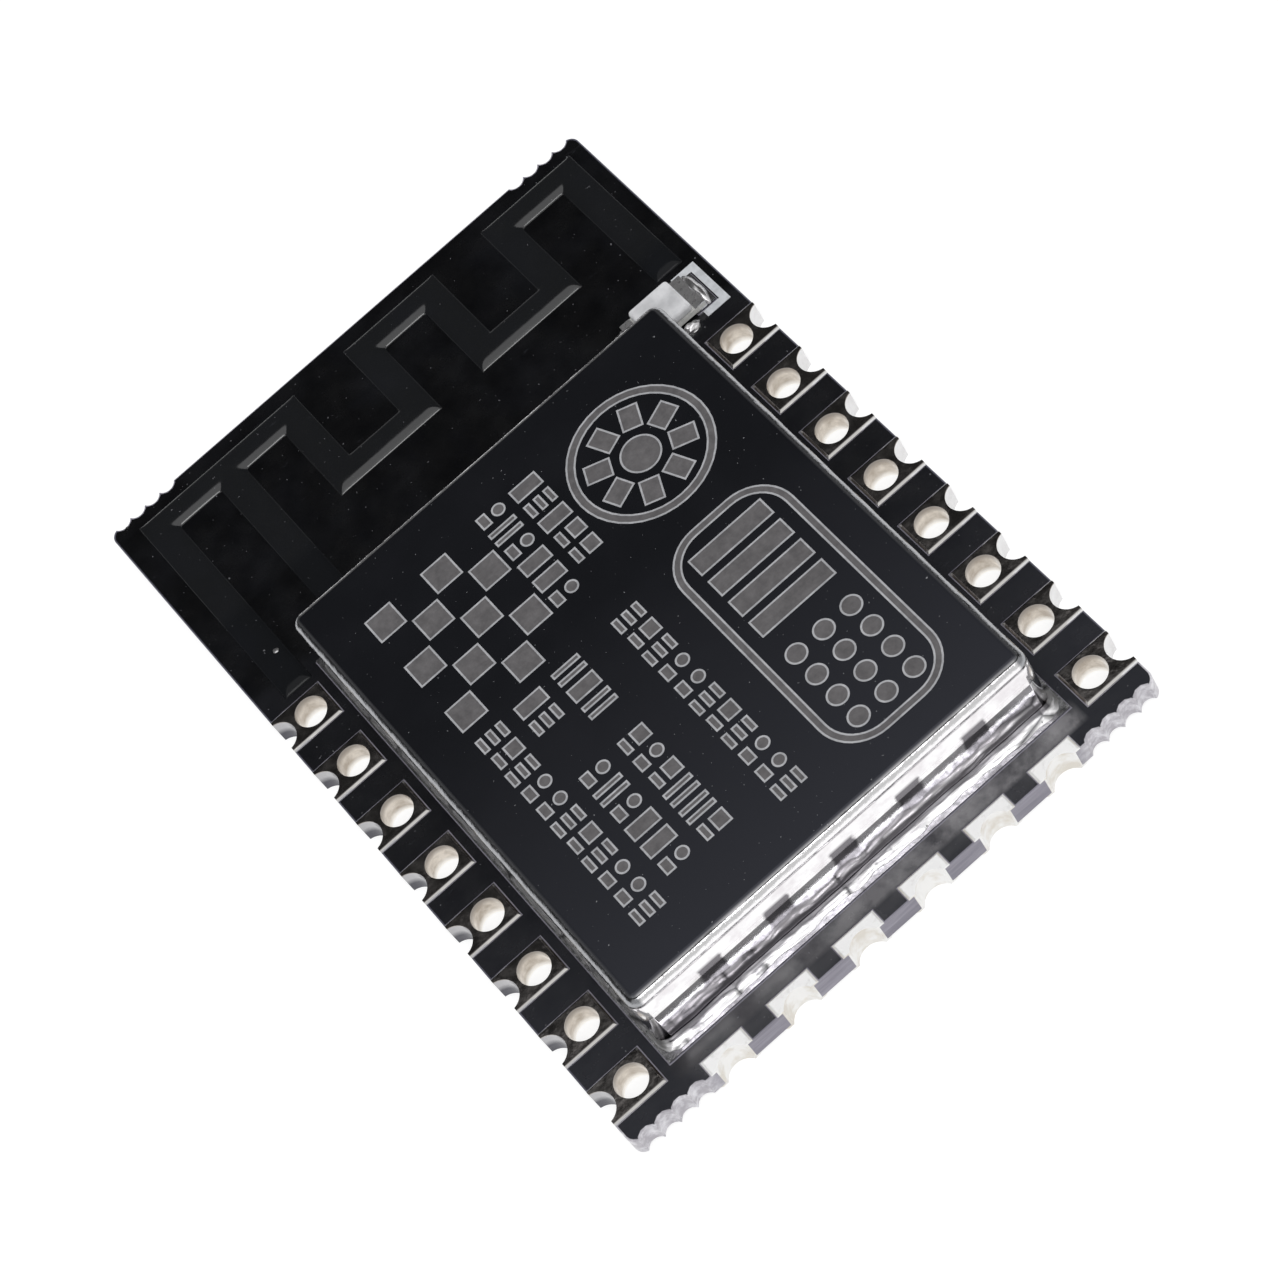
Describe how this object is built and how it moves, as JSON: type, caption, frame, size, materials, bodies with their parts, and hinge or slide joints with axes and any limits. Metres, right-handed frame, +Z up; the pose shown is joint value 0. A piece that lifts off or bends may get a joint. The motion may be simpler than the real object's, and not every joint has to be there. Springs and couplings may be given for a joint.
{
  "type": "wifi module",
  "caption": "Small radio circuit board with plated edge pads, a printed meander antenna, a status lamp and a soldered shield can.",
  "frame": {"origin": "centre of the underside, on the plane of the bottom lands", "axes": "+Y towards the antenna end, +Z up out of the shield can's lid, +X to the right seen from above with the antenna end up"},
  "size_m": [0.016, 0.024, 0.003],
  "materials": {
    "laminate": "routed glass-epoxy edge, dull grey",
    "solder_mask": "smooth bluish-black solder mask, glossy",
    "plated_copper": "plated copper",
    "plated_pad": "bright plated land, faint warm tint",
    "tinned_land": "tinned, bright",
    "shield_sheet": "bright nickel-silver sheet with grey etched marks on the lid",
    "solder": "reflowed solder, bright and lumpy",
    "lamp_board": "white lamp substrate",
    "lamp_resin": "milky resin",
    "board_ink": "white printed ink",
    "chip_mould": "black moulding compound",
    "ceramic": "fired ceramic",
    "capacitor_body": "tan ceramic",
    "resistor_body": "black overcoat on ceramic"
  },
  "bodies": {
    "root": {"laminate": "laminate", "solder_mask_top": "solder_mask", "solder_mask_bottom": "solder_mask", "antenna_trace": "plated_copper", "shield_land": "tinned_land", "shield_can": "shield_sheet", "shield_solder": "solder", "lamp_lands": "tinned_land", "lamp_base": "lamp_board", "lamp_terminals": "plated_copper", "lamp_lens": "lamp_resin", "lamp_solder": "solder", "ink_bracket": "board_ink", "component_lands": "tinned_land", "radio_chip": "chip_mould", "flash_chip": "chip_mould", "flash_leads": "tinned_land", "crystal_tub": "ceramic", "crystal_lid": "tinned_land", "capacitors": "capacitor_body", "resistors": "resistor_body", "inductors": "ceramic", "small_part_ends": "tinned_land", "pad_01": "plated_pad", "pad_02": "plated_pad", "pad_03": "plated_pad", "pad_04": "plated_pad", "pad_05": "plated_pad", "pad_06": "plated_pad", "pad_07": "plated_pad", "pad_08": "plated_pad", "pad_09": "plated_pad", "pad_10": "plated_pad", "pad_11": "plated_pad", "pad_12": "plated_pad", "pad_13": "plated_pad", "pad_14": "plated_pad", "pad_15": "plated_pad", "pad_16": "plated_pad", "pad_17": "plated_pad", "pad_18": "plated_pad", "pad_19": "plated_pad", "pad_20": "plated_pad", "pad_21": "plated_pad", "pad_22": "plated_pad"}
  },
  "joints": []
}
